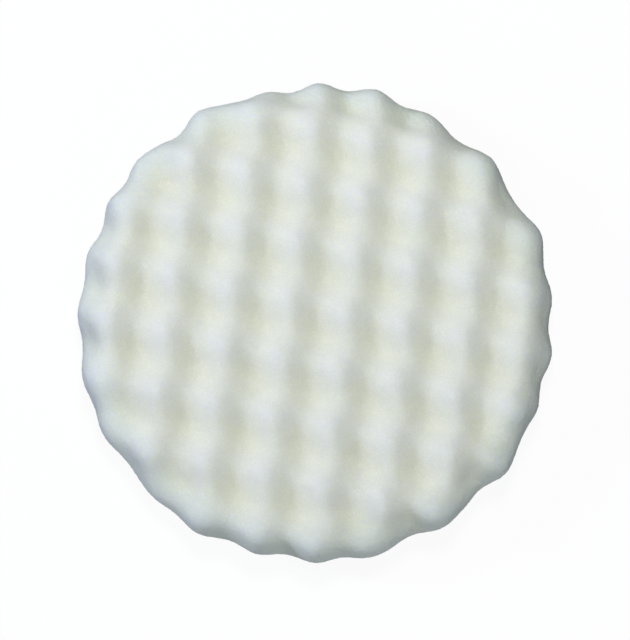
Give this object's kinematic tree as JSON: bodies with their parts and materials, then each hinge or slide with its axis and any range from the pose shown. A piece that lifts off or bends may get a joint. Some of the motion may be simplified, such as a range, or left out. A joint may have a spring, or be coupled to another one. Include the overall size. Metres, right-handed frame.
{
  "type": "polishing pad",
  "caption": "Round white waffle-faced foam polishing pad with a rolled scalloped edge and a recessed hook-and-loop back.",
  "frame": {"origin": "on the pad's axis, in the plane of the foam's back rim, where the pad rests when it lies face up", "axes": "+Z along the pad's axis, out of the waffle face; the rows of waffle tops run 12.1 degrees clockwise of +X"},
  "size_m": [0.2026, 0.206, 0.0322],
  "materials": {
    "foam": "soft white open-cell polyurethane foam, matt, with a fine cut-cell grain",
    "adhesive": "translucent cream film of adhesive",
    "support": "flexible white plastic sheet, satin",
    "loop": "white knitted loop pile"
  },
  "bodies": {
    "root": {"waffle_foam": "foam", "foam_bond": "adhesive", "support_disc": "support", "loop_bond": "adhesive", "loop_fabric": "loop"}
  },
  "joints": []
}
